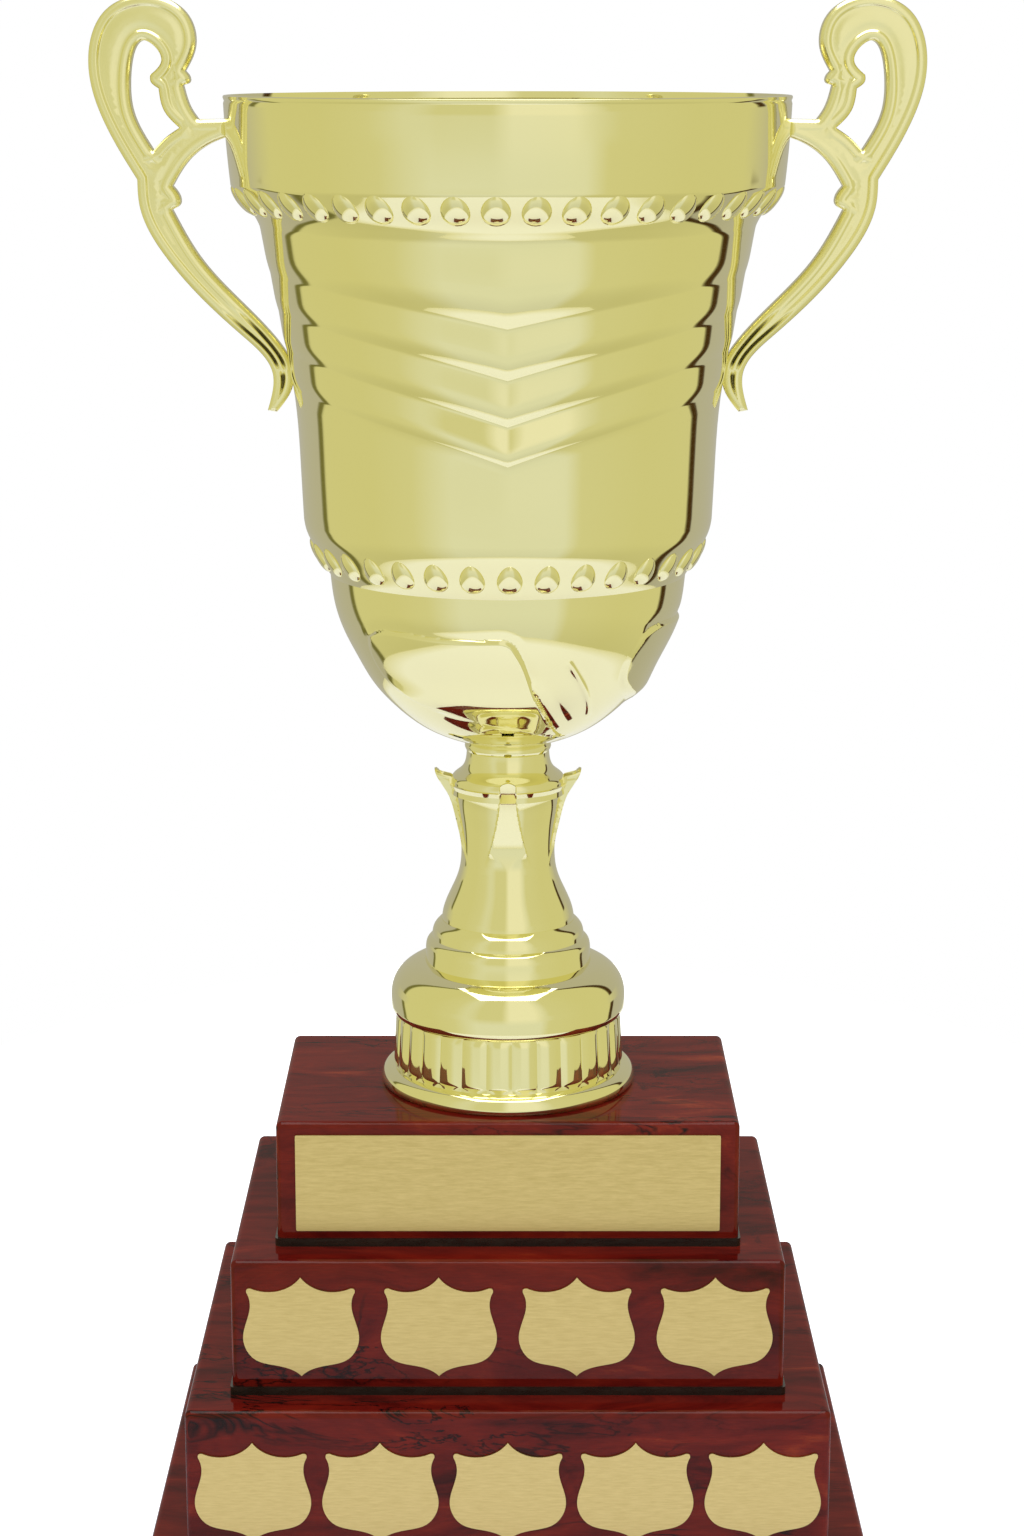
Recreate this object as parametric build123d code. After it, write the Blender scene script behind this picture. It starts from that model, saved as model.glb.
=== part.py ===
from build123d import *
import os

# Two-handled cup trophy on a base of four stepped rosewood tiers, in millimetres.
# Origin: the middle of the underside of the base. +Z is up, the engraving plates face -Y
# and +X is on the right of a person who faces them.

# ---- driving dimensions ----------------------------------------------------
# Base tiers, from the bottom up: (width along X, depth along Y, height)
TIER_SIZES = [(264, 204, 64), (232, 172, 60), (200, 140, 51), (168, 108, 47)]
TIER_EDGE_RADIUS = 2.4
TIER_PANEL = 12.0  # thickness of the top and side panels
BOARD_HEIGHT = 3.0  # black foot board under each tier
BOARD_OVERHANG = 0.8
BOARD_CORNER_RADIUS = 2.0
FELT_HEIGHT = 1.5
FELT_INSET = 4.0
BLOCK_SIDE = 18.0  # glued corner blocks inside each tier

# Engraving plates
PLATE_THICKNESS = 0.8
NAMEPLATE_WIDTH = 154.0
NAMEPLATE_HEIGHT = 36.5
NAMEPLATE_DROP = 4.5  # from the tier's top down to the plate
NAMEPLATE_CORNER_RADIUS = 0.6
# Rows of shields, from the bottom up: (count, pitch, drop from the tier's top to the peak)
SHIELD_ROWS = [(5, 52.0, 13.0), (5, 45.9, 11.4), (4, 49.8, 5.7)]

# Cup
CUP_HEIGHT = 363.0  # from the base's top to the rim
RIM_RADIUS = 100.4
CUP_WALL = 1.2
CUP_FLOOR_RADIUS = 15.3
BOWL_DEPTH = 233.0  # from the rim to the flat under the bowl

# Stem and foot: heights are measured down from the rim
CROWN_FLOOR = -252.5  # where the neck stands inside the crown of leaves
STEM_BOTTOM = -300.5
RING_BOTTOM = -316.5
REED_TOP = -336.5
REED_BOTTOM = -355.5
LEAF_COUNT = 4
LEAF_SCALLOP_RADIUS = 16.0  # arch cut between two leaves
LEAF_SCALLOP_BOTTOM = -248.5
REED_COUNT = 28
REED_BAND_RADIUS = 42.4  # at the creases between the reeds
REED_BULGE = 0.8
MOULDING_WALL = 2.2
MOULDING_FLOOR = 4.0  # thickness of a moulding where the rod clamps it

# Handles, and the screws that hold them from inside the cup
HANDLE_THICKNESS = 10.0
HANDLE_SCREW_RADIUS = 1.5
HANDLE_SCREW_CLEARANCE = 0.15
HANDLE_SCREW_HEAD = (3.0, 2.0)  # radius, height
HANDLE_WASHER = (4.0, 0.8)  # radius, thickness
HANDLE_SCREW_REACH = (9.0, 5.0)  # into the upper arm and into the tail

# Rod that clamps the cup, stem, foot and top tier together: M4, drawn as a plain cylinder
ROD_RADIUS = 1.9
ROD_HOLE_RADIUS = 1.98
ROD_END = 5.0  # length past each nut
NUT_ACROSS_FLATS = 7.0
NUT_HEIGHT = 3.2
ROD_WASHER = (12.0, 1.6)  # radius, thickness

# Screws that join the tiers
TIER_SCREW_RADIUS = 2.0
TIER_SCREW_CLEARANCE = 0.2
TIER_SCREW_HEAD = (3.8, 2.4)  # radius, height
TIER_SCREW_BITE = 12.0  # length inside the corner block

# ---- heights worked out from them ------------------------------------------
TIER_NAMES = [f"tier_{number}" for number in range(1, len(TIER_SIZES) + 1)]
TIER_TOPS = [sum(height for _, _, height in TIER_SIZES[:index + 1]) for index in range(len(TIER_SIZES))]
BASE_TOP = TIER_TOPS[-1]
RIM_Z = BASE_TOP + CUP_HEIGHT
CUP_FLOOR_Z = RIM_Z - BOWL_DEPTH


# ---- helpers ---------------------------------------------------------------
def outline(stretches, top=RIM_Z):
    """Closed face in the XZ plane. A stretch is a list of (x, height above top) points:
    two points make a straight edge, more make a smooth curve."""
    edges = []
    for stretch in stretches:
        points = [(x, 0, top + z) for x, z in stretch]
        edges.append(Line(*points) if len(points) == 2 else Spline(*points))
    return make_face(edges)


def straight(*corners):
    """Straight stretches through the corners in turn."""
    return [[first, second] for first, second in zip(corners, corners[1:])]


def turned(*stretches):
    """Solid turned about Z from the outline of half its section."""
    return revolve(outline(stretches), Axis.Z)


def post(radius, height, bottom=0.0):
    """Upright cylinder on the Z axis."""
    return Pos(0, 0, bottom) * Cylinder(radius, height, align=(Align.CENTER, Align.CENTER, Align.MIN))


def slab(width, depth, height, bottom):
    """Upright box on the Z axis."""
    return Pos(0, 0, bottom) * Box(width, depth, height, align=(Align.CENTER, Align.CENTER, Align.MIN))


def rounded_slab(width, depth, height, bottom, radius):
    """Upright box with round corners."""
    box = slab(width, depth, height, bottom)
    return fillet(box.edges().filter_by(Axis.Z), radius)


def group(solids):
    """Separate solids in one node."""
    return Compound(children=[solid.solid() for solid in solids])


# ---- cup -------------------------------------------------------------------
COLLAR = [(RIM_RADIUS, 0), (99.4, -18), (98.1, -32)]
BEAD_LEDGE = [(98.1, -32), (96.6, -35.6), (93.6, -39), (88.6, -42)]
BARREL = [(88.6, -42), (83.5, -67.7), (79.7, -87), (76.3, -108), (74.6, -135), (73, -161.6)]
LOWER_BEAD_LEDGE = [(73, -161.6), (71.9, -164.8), (69.2, -168.2), (64.6, -171)]
BOWL = [(64.6, -171), (62.9, -182), (59, -194), (52.7, -206), (43, -218), (30, -227.3),
        (CUP_FLOOR_RADIUS, -BOWL_DEPTH)]


def cup_body():
    """The cup's outer form as one full solid."""
    return turned(COLLAR, BEAD_LEDGE, BARREL, LOWER_BEAD_LEDGE, BOWL,
                  *straight(BOWL[-1], (0, -BOWL_DEPTH), (0, 0), COLLAR[0]))


def cup_bowl():
    """Spun shell, open at the rim, drilled for the rod and the handle screws."""
    body = cup_body()
    shell = offset(body, amount=-CUP_WALL, openings=body.faces().sort_by(Axis.Z)[-1])
    shell -= post(ROD_HOLE_RADIUS, BOWL_DEPTH, CUP_FLOOR_Z - CUP_WALL)
    for plane in handle_screw_planes():
        hole = plane * Cylinder(HANDLE_SCREW_RADIUS + HANDLE_SCREW_CLEARANCE, 8 * CUP_WALL)
        shell -= [hole, mirror(hole, Plane.YZ)]
    return shell


# ---- handles ---------------------------------------------------------------
# Outline of the right handle: (x, height above the rim), from the cup's wall along the top of
# the arm, round the scroll, down to the tail and back along the side that faces the cup.
HANDLE_ROOT = 92.0  # inside the cup's wall, which trims the arm to its own shape
ARM_TOP = [(HANDLE_ROOT, -8.3), (109.3, -8.6)]
SCROLL_STALK = [(109.3, -8.6), (111.7, -5.1), (114.5, 3.4)]
SCROLL_KNOB = [(114.5, 3.4), (112.1, 4.5), (112.1, 6.0), (113.7, 8.2)]
SCROLL = [(113.7, 8.2), (110.0, 16.5), (112.4, 27.5), (126, 34.2), (141.2, 28.8), (147.4, 12), (142.8, -8.4),
          (131.2, -29.4)]
LOWER_ARM = [(131.2, -29.4), (130.7, -38), (121.4, -56.9), (95, -84.4), (84.4, -97.5), (86.3, -111)]
TAIL_TIP = [(86.3, -111), (83, -111.6)]
LOWER_ARM_INSIDE = [(83, -111.6), (77.7, -104), (76.8, -96), (83, -85.9), (109.9, -56.6), (119.4, -40)]
ARM_KNOB = [(119.4, -40), (116.4, -38), (116.4, -35.8), (119, -31.8)]
ARM_UNDERSIDE = [(119, -31.8), (112.8, -22.6), (103.6, -16.2), (HANDLE_ROOT, -13.2)]
# Eye of the scroll
EYE_OUTSIDE = [(125.4, -19.5), (131.1, -9.5), (133.3, 4.5), (127.4, 18.7), (121.7, 12.2), (125.7, 6.9)]
EYE_KNOB = [(125.7, 6.9), (125.8, 5.0), (122.9, 2.2)]
EYE_INSIDE = [(122.9, 2.2), (121.3, -5.2), (115.9, -11.4)]
EYE_BOTTOM = [(115.9, -11.4), (120.6, -14.6), (125.4, -19.5)]

HANDLE_FIXINGS = [(COLLAR, -11.5), (BARREL, -97.0)]  # stretch of the cup's wall and height of each screw


def wall_plane(stretch, height):
    """Plane on the cup's outside at a height, with its normal pointing out of the cup."""
    curve = Spline(*[(x, 0, z) for x, z in stretch])
    low, high = 0.0, 1.0
    while high - low > 1e-6:
        middle = (low + high) / 2
        if (curve @ middle).Z > height:
            low = middle
        else:
            high = middle
    point = curve @ low
    tangent = curve % low
    return Plane(origin=(point.X, 0, RIM_Z + point.Z), x_dir=(0, 1, 0), z_dir=(-tangent.Z, 0, tangent.X))


def handle_screw_planes():
    """Planes of the right handle's screws."""
    return [wall_plane(stretch, height) for stretch, height in HANDLE_FIXINGS]


def handle_right():
    """Cast scroll handle, trimmed to the cup, with blind holes for its screws."""
    side = outline([ARM_TOP, SCROLL_STALK, SCROLL_KNOB, SCROLL, LOWER_ARM, TAIL_TIP, LOWER_ARM_INSIDE, ARM_KNOB,
                    ARM_UNDERSIDE, [ARM_UNDERSIDE[-1], ARM_TOP[0]]])
    eye = outline([EYE_OUTSIDE, EYE_KNOB, EYE_INSIDE, EYE_BOTTOM])
    plate = extrude(side, HANDLE_THICKNESS / 2, both=True)
    plate -= extrude(eye, HANDLE_THICKNESS, both=True)
    plate -= cup_body()
    for plane, reach in zip(handle_screw_planes(), HANDLE_SCREW_REACH):
        plate -= plane * Cylinder(HANDLE_SCREW_RADIUS, 2 * reach)
    return plate


def handle_screw(plane, reach):
    """Pan-head screw from inside the cup into the handle."""
    head_radius, head_height = HANDLE_SCREW_HEAD
    seat = -CUP_WALL - HANDLE_WASHER[1]
    shank = post(HANDLE_SCREW_RADIUS, reach - seat, seat)
    head = post(head_radius, head_height, seat - head_height)
    return plane * (shank + head)


def handle_washer(plane):
    """Washer under the screw's head, shaped to the cup's inner wall."""
    radius, thickness = HANDLE_WASHER
    disc = plane * post(radius, thickness, -CUP_WALL - thickness)
    hole = plane * Cylinder(HANDLE_SCREW_RADIUS + HANDLE_SCREW_CLEARANCE, 8 * CUP_WALL)
    return disc - hole - cup_bowl()


def both_sides(solids):
    """The right handle's pieces and their mirror images on the left."""
    return group(solids + [mirror(solid, Plane.YZ) for solid in solids])


# ---- stem and foot ---------------------------------------------------------
def hollowed(form):
    """Moulding open below, with a hole for the rod in its top."""
    return offset(form, amount=-MOULDING_WALL, openings=form.faces().sort_by(Axis.Z)[0]) - post(ROD_HOLE_RADIUS, RIM_Z)


def neck_collar():
    """Flared neck between the bowl and the crown of leaves."""
    neck = [(14.8, -237), (15.8, -241), (18, -245.4), (21.2, -248.5)]
    bead = [(15.3, -BOWL_DEPTH), (15.9, -235), (14.8, -237)]
    form = turned(bead, neck, *straight(neck[-1], (20.8, CROWN_FLOOR), (0, CROWN_FLOOR), (0, -BOWL_DEPTH), bead[0]))
    return hollowed(form)


def leaf_stem():
    """Waisted stem whose top opens into a crown of leaves, hollow from below."""
    side = [(26.6, -243.5), (21.8, -254), (18.4, -264), (17.3, -273), (18.4, -283), (24.4, -298.7)]
    crown = [(25.2, -243.5), (22.6, -248), (20.8, CROWN_FLOOR)]
    inside = [(17.3 - MOULDING_WALL, -273), (18.4 - MOULDING_WALL, -283), (24.4 - MOULDING_WALL, STEM_BOTTOM)]
    floor = CROWN_FLOOR - MOULDING_FLOOR
    stem = turned(side, *straight(side[-1], (24.6, STEM_BOTTOM), inside[-1]), inside[::-1],
                  *straight(inside[0], (inside[0][0], floor), (ROD_HOLE_RADIUS, floor),
                            (ROD_HOLE_RADIUS, CROWN_FLOOR), crown[-1]),
                  crown[::-1], *straight(crown[0], side[0]))
    arch_height = RIM_Z + LEAF_SCALLOP_BOTTOM + LEAF_SCALLOP_RADIUS
    arch = Pos(0, 0, arch_height) * Rot(0, 90, 0) * Cylinder(LEAF_SCALLOP_RADIUS, 80)
    turn = 360 / LEAF_COUNT
    return stem - [Rot(0, 0, turn * (index + 0.5)) * arch for index in range(LEAF_COUNT // 2)]


def stem_ring():
    """Two stacked mouldings between the stem and the foot's dome."""
    upper = [(24.8, STEM_BOTTOM), (27.6, -303.6), (28.3, -307.2)]
    lower = [(28.3, -307.2), (29.8, -308.4), (30.7, -312.5), (31, RING_BOTTOM)]
    form = turned(upper, lower, *straight(lower[-1], (0, RING_BOTTOM), (0, STEM_BOTTOM), upper[0]))
    return hollowed(form)


def reeds():
    """Ring of upright convex reeds around the foot."""
    def spot(place, radius):
        return Vector(radius, 0).rotate(Axis.Z, 360 / REED_COUNT * place)

    arcs = [ThreePointArc(spot(place, REED_BAND_RADIUS), spot(place + 0.5, REED_BAND_RADIUS + REED_BULGE),
                          spot(place + 1, REED_BAND_RADIUS)) for place in range(REED_COUNT)]
    ring = extrude(make_face(arcs), REED_TOP - REED_BOTTOM)
    return Pos(0, 0, RIM_Z + REED_BOTTOM) * ring - post(REED_BAND_RADIUS - MOULDING_WALL / 2, RIM_Z)


def foot():
    """Domed foot with a reeded band and a spreading flange, hollow from below."""
    dome = [(31, -316.6), (36, -317.7), (40.2, -320.6), (43.1, -325.6), (43.5, -333)]
    flange = [(44, -356.4), (46.2, -357.6), (47.4, -360)]
    band = straight(dome[-1], (REED_BAND_RADIUS, -335), (REED_BAND_RADIUS, -356.4), flange[0])
    form = turned(dome, *band, flange, *straight(flange[-1], (47.4, -CUP_HEIGHT), (0, -CUP_HEIGHT),
                                                 (0, RING_BOTTOM), (31, RING_BOTTOM), dome[0]))
    return hollowed(form) + reeds()


# ---- rod, nuts and washers -------------------------------------------------
CUP_INSIDE_FLOOR_Z = CUP_FLOOR_Z + CUP_WALL
PANEL_UNDERSIDE_Z = BASE_TOP - TIER_PANEL
ROD_BOTTOM_Z = PANEL_UNDERSIDE_Z - ROD_WASHER[1] - NUT_HEIGHT - ROD_END
ROD_TOP_Z = CUP_INSIDE_FLOOR_Z + ROD_WASHER[1] + NUT_HEIGHT + ROD_END


def hex_nut(bottom):
    """Hexagon nut on the rod."""
    prism = extrude(RegularPolygon(NUT_ACROSS_FLATS / 2, 6, major_radius=False), NUT_HEIGHT)
    return Pos(0, 0, bottom) * prism - post(ROD_RADIUS, RIM_Z)


def rod_washer(bottom):
    """Large flat washer on the rod."""
    radius, thickness = ROD_WASHER
    return post(radius, thickness, bottom) - post(ROD_HOLE_RADIUS, RIM_Z)


def centre_rod():
    """Rod with its ends chamfered."""
    rod = post(ROD_RADIUS, ROD_TOP_Z - ROD_BOTTOM_Z, ROD_BOTTOM_Z)
    return chamfer(rod.edges().filter_by(GeomType.CIRCLE), 0.5)


# ---- base ------------------------------------------------------------------
def tier_floor(index):
    """Height of the underside of a tier's rosewood box: on its foot board, and the lowest on felt too."""
    below = TIER_TOPS[index] - TIER_SIZES[index][2]
    return below + BOARD_HEIGHT + (FELT_HEIGHT if index == 0 else 0)


def corner_spots(index):
    """Centres of a tier's corner blocks."""
    width, depth, _ = TIER_SIZES[index]
    half_x = width / 2 - TIER_PANEL - BLOCK_SIDE / 2
    half_y = depth / 2 - TIER_PANEL - BLOCK_SIDE / 2
    return [(x, y) for x in (-half_x, half_x) for y in (-half_y, half_y)]


def tier_box(index):
    """Lacquered box, open below, with its outer edges rounded and its top drilled for what stands on it."""
    width, depth, _ = TIER_SIZES[index]
    floor, top = tier_floor(index), TIER_TOPS[index]
    box = slab(width, depth, top - floor, floor)
    box = fillet(box.edges().filter_by(Axis.Z) + box.faces().sort_by(Axis.Z)[-1].edges(), TIER_EDGE_RADIUS)
    box -= slab(width - 2 * TIER_PANEL, depth - 2 * TIER_PANEL, top - TIER_PANEL - floor, floor)
    if index == len(TIER_SIZES) - 1:
        return box - post(ROD_HOLE_RADIUS, RIM_Z)
    return box - [Pos(x, y, 0) * post(TIER_SCREW_RADIUS + TIER_SCREW_CLEARANCE, RIM_Z)
                  for x, y in corner_spots(index + 1)]


def foot_board(index):
    """Black board that closes a tier from below and stands proud of it."""
    width, depth, _ = TIER_SIZES[index]
    bottom = tier_floor(index) - BOARD_HEIGHT
    board = rounded_slab(width + 2 * BOARD_OVERHANG, depth + 2 * BOARD_OVERHANG, BOARD_HEIGHT, bottom,
                         BOARD_CORNER_RADIUS)
    radius = TIER_SCREW_RADIUS + TIER_SCREW_CLEARANCE
    if index == 0:
        return board - [tier_screw(x, y, bottom, radius, True) for x, y in corner_spots(index)]
    return board - [Pos(x, y, 0) * post(radius, RIM_Z) for x, y in corner_spots(index)]


def screw_seat(index):
    """Height of the underside of the head of the screws that go up into a tier's corner blocks."""
    return TIER_TOPS[index - 1] - TIER_PANEL if index else tier_floor(0) - BOARD_HEIGHT


def tier_screw(x, y, seat, radius, countersunk):
    """Wood screw that points up. A countersunk head is flush with its seat, a pan head hangs below it."""
    head_radius, head_height = TIER_SCREW_HEAD
    if countersunk:
        head = Pos(x, y, seat + head_height / 2) * Cone(head_radius, radius, head_height)
        return head + Pos(x, y, 0) * post(radius, BOARD_HEIGHT + TIER_SCREW_BITE, seat)
    reach = TIER_PANEL + BOARD_HEIGHT + TIER_SCREW_BITE
    return Pos(x, y, 0) * (post(head_radius, head_height, seat - head_height) + post(radius, reach, seat))


def tier_screws(index):
    """The screws that go up into a tier's corner blocks."""
    return [tier_screw(x, y, screw_seat(index), TIER_SCREW_RADIUS, index == 0) for x, y in corner_spots(index)]


def corner_blocks(index):
    """Wooden blocks in the corners of a tier, with the screws' holes."""
    floor = tier_floor(index)
    height = TIER_TOPS[index] - TIER_PANEL - floor
    block = slab(BLOCK_SIDE, BLOCK_SIDE, height, floor) - post(TIER_SCREW_RADIUS, TIER_SCREW_BITE, floor)
    return group([Pos(x, y, 0) * block for x, y in corner_spots(index)])


def base_felt():
    """Felt under the whole base."""
    width, depth, _ = TIER_SIZES[0]
    return slab(width - 2 * FELT_INSET, depth - 2 * FELT_INSET, FELT_HEIGHT, 0)


# ---- engraving plates ------------------------------------------------------
# Right half of a shield: (x, height above the peak)
SHIELD_BROW = [(0, 0), (4.7, -4), (11.2, -5.6), (18, -4.2)]
SHIELD_EAR = [(18, -4.2), (19.3, -4.5), (19.5, -5.8)]
SHIELD_SIDE = [(19.5, -5.8), (18.4, -12), (20.9, -24), (17, -31.3), (8.7, -33.9), (0, -37.9)]


def shield(x, peak, front):
    """Shield plate on a tier's front."""
    right = [SHIELD_BROW, SHIELD_EAR, SHIELD_SIDE]
    left = [[(-px, pz) for px, pz in stretch] for stretch in right]
    face = outline(right + left, peak)
    return Pos(x, front, 0) * extrude(face, PLATE_THICKNESS, dir=(0, -1, 0))


def shields(index):
    """A row of shields, from left to right."""
    count, pitch, drop = SHIELD_ROWS[index]
    front = -TIER_SIZES[index][1] / 2
    spots = [(place - (count - 1) / 2) * pitch for place in range(count)]
    return [shield(x, TIER_TOPS[index] - drop, front) for x in spots]


def nameplate():
    """Large blank plate on the top tier's front."""
    front = -TIER_SIZES[-1][1] / 2
    middle = BASE_TOP - NAMEPLATE_DROP - NAMEPLATE_HEIGHT / 2
    plate = Pos(0, front - PLATE_THICKNESS / 2, middle) * Box(NAMEPLATE_WIDTH, PLATE_THICKNESS, NAMEPLATE_HEIGHT)
    return fillet(plate.edges().filter_by(Axis.Y), NAMEPLATE_CORNER_RADIUS)


# ---- assembly --------------------------------------------------------------
def nodes():
    """Every sub-part by its name."""
    screw_planes = handle_screw_planes()
    right_handle = handle_right()
    parts = {
        "cup_bowl": cup_bowl(),
        "handle_right": right_handle,
        "handle_left": mirror(right_handle, Plane.YZ),
        "handle_screws": both_sides([handle_screw(plane, reach)
                                     for plane, reach in zip(screw_planes, HANDLE_SCREW_REACH)]),
        "handle_washers": both_sides([handle_washer(plane) for plane in screw_planes]),
        "neck_collar": neck_collar(),
        "leaf_stem": leaf_stem(),
        "stem_ring": stem_ring(),
        "foot": foot(),
        "centre_rod": centre_rod(),
        "bowl_washer": rod_washer(CUP_INSIDE_FLOOR_Z),
        "bowl_nut": hex_nut(CUP_INSIDE_FLOOR_Z + ROD_WASHER[1]),
        "base_washer": rod_washer(PANEL_UNDERSIDE_Z - ROD_WASHER[1]),
        "base_nut": hex_nut(PANEL_UNDERSIDE_Z - ROD_WASHER[1] - NUT_HEIGHT),
        "nameplate": nameplate(),
        "base_felt": base_felt(),
    }
    for index, name in enumerate(TIER_NAMES):
        parts[f"{name}_box"] = tier_box(index)
        parts[f"{name}_foot_board"] = foot_board(index)
        parts[f"{name}_corner_blocks"] = corner_blocks(index)
        parts[f"{name}_screws"] = group(tier_screws(index))
    for index in range(len(SHIELD_ROWS)):
        for place, plate in enumerate(shields(index), start=1):
            parts[f"{TIER_NAMES[index]}_shield_{place}"] = plate
    return parts


os.makedirs("parts", exist_ok=True)
for node, shape in nodes().items():
    export_step(shape, f"parts/{node}.step")
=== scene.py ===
import math

import bpy
import numpy as np
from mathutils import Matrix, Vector
from mathutils.geometry import delaunay_2d_cdt


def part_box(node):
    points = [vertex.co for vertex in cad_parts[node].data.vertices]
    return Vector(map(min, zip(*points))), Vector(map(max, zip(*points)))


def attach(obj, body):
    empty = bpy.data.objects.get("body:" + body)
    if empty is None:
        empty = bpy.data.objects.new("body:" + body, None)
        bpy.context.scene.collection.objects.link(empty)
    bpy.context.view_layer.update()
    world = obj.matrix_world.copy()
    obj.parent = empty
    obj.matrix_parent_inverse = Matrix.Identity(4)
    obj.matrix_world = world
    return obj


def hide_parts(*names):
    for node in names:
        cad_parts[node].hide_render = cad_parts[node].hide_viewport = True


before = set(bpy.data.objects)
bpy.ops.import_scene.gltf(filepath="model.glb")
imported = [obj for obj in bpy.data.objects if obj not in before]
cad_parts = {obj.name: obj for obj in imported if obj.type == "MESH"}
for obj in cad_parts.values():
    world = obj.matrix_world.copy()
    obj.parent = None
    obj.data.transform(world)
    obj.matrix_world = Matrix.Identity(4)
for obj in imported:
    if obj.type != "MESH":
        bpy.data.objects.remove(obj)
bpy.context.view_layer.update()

# Lengths below are in millimetres, as in the CAD. Azimuths are in degrees round the cup's axis: 0 faces
# the camera (-Y) and 90 faces +X. Heights are measured from the cup's rim, so they are mostly negative.
MM = 0.001
RIM_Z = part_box("cup_bowl")[1].z / MM


# ---- curves and meshes ------------------------------------------------------
def smooth(points, count):
    """count points at even steps along the smooth curve through the given ones."""
    knots = np.array(points, float)
    steps = np.linalg.norm(np.diff(knots, axis=0), axis=1)
    along = np.concatenate([[0], np.cumsum(steps)])
    size = len(knots)
    matrix = np.eye(size)
    right = np.zeros_like(knots)
    for i in range(1, size - 1):
        matrix[i, i - 1:i + 2] = steps[i - 1], 2 * (steps[i - 1] + steps[i]), steps[i]
        right[i] = 6 * ((knots[i + 1] - knots[i]) / steps[i] - (knots[i] - knots[i - 1]) / steps[i - 1])
    bend = np.linalg.solve(matrix, right)
    at = np.linspace(0, along[-1], count)
    i = np.clip(np.searchsorted(along, at, side="right") - 1, 0, size - 2)
    step = steps[i][:, None]
    a = (along[i + 1] - at)[:, None] / step
    b = 1 - a
    return a * knots[i] + b * knots[i + 1] + ((a**3 - a) * bend[i] + (b**3 - b) * bend[i + 1]) * step**2 / 6


def chain(stretches, spacing):
    """Points along several stretches joined end to end. Two points make a straight stretch."""
    points = []
    for stretch in stretches:
        length = np.linalg.norm(np.diff(np.array(stretch, float), axis=0), axis=1).sum()
        points.extend(smooth(stretch, max(2, round(length / spacing) + 1))[:-1])
    return np.array(points)


def smoothstep(low, high, value):
    """0 below low, 1 above high, and a smooth rise between them."""
    t = np.clip((value - low) / (high - low), 0, 1)
    return t * t * (3 - 2 * t)


def make_object(name, points, faces, node, material, crease=40, normals=None):
    """Mesh object in the row's frame that replaces a CAD node. Points are in mm, with heights from the floor.
    It is shaded by the normals if given, else smoothly up to the crease angle."""
    mesh = bpy.data.meshes.new(name)
    mesh.from_pydata((np.asarray(points, float) * MM).tolist(), [], [list(face) for face in faces])
    mesh.validate()
    mesh.shade_smooth()
    if normals is None:
        mesh.set_sharp_from_angle(angle=math.radians(crease))
    else:
        mesh.normals_split_custom_set_from_vertices(normals.tolist())
    mesh.materials.append(material)
    obj = bpy.data.objects.new(name, mesh)
    bpy.context.scene.collection.objects.link(obj)
    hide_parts(node)
    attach(obj, "root")
    return obj


def ring_faces(rows, columns, closed):
    """Faces of a grid whose columns go once round. Its rows join up into a ring too if closed."""
    corner = np.arange(rows * columns).reshape(rows, columns)
    if closed:
        corner = np.vstack([corner, corner[:1]])
    after = np.roll(corner, -1, axis=1)
    return np.stack([corner[:-1], corner[1:], after[1:], after[:-1]], axis=-1).reshape(-1, 4).tolist()


def ring_points(radius, azimuth, height):
    """Points at a radius, azimuth and height, each an array of [row, column] or one that spreads to it."""
    turn = np.radians(azimuth)
    x, y, z = np.broadcast_arrays(radius * np.sin(turn), -radius * np.cos(turn), height + RIM_Z)
    return np.stack([x, y, z], axis=-1).reshape(-1, 3)


def even_azimuths(columns):
    """Azimuths at even steps once round, from the front."""
    return np.arange(columns) * 360 / columns


# ---- material helpers -------------------------------------------------------
SIDE_FACING = 0.7  # least X of the normal, either way, on a box's side


def add(tree, kind, inputs=None, **settings):
    """Shader node with its settings. An input is a number, a colour or another node's output."""
    node = tree.nodes.new("ShaderNode" + kind)
    for name, value in settings.items():
        setattr(node, name, value)
    for name, value in (inputs or {}).items():
        if isinstance(value, bpy.types.NodeSocket):
            tree.links.new(value, node.inputs[name])
        else:
            node.inputs[name].default_value = value
    return node


def ramp(tree, factor, stops, interpolation="LINEAR"):
    """Colour output of a ramp through (position, colour) stops."""
    node = add(tree, "ValToRGB", {"Fac": factor})
    node.color_ramp.interpolation = interpolation
    elements = node.color_ramp.elements
    while len(elements) < len(stops):
        elements.new(1.0)
    for element, (position, colour) in zip(elements, stops):
        element.position = position
        element.color = (*colour, 1)
    return node.outputs["Color"]


def mixed(tree, factor, a, b, blend="MIX"):
    """Colour output of a mix of two colours."""
    node = tree.nodes.new("ShaderNodeMix")
    node.data_type = "RGBA"
    node.blend_type = blend
    for socket, value in ((node.inputs[0], factor), (node.inputs[6], a), (node.inputs[7], b)):
        if isinstance(value, bpy.types.NodeSocket):
            tree.links.new(value, socket)
        else:
            socket.default_value = value if socket.type == "VALUE" else (*value, 1)
    return node.outputs[2]


def math_of(tree, operation, *values):
    """Output of a Math node."""
    return add(tree, "Math", dict(enumerate(values)), operation=operation).outputs[0]


def span(tree, value, low, high, to_low, to_high):
    """Output that goes from to_low to to_high as a value goes from low to high."""
    return add(tree, "MapRange", {"Value": value, "From Min": low, "From Max": high, "To Min": to_low,
                                  "To Max": to_high}).outputs["Result"]


def object_coordinates(tree, scale=(1, 1, 1)):
    """Object coordinates, stretched by a scale along each axis."""
    place = add(tree, "TexCoord").outputs["Object"]
    return add(tree, "Mapping", {"Vector": place, "Scale": scale}).outputs["Vector"]


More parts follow.
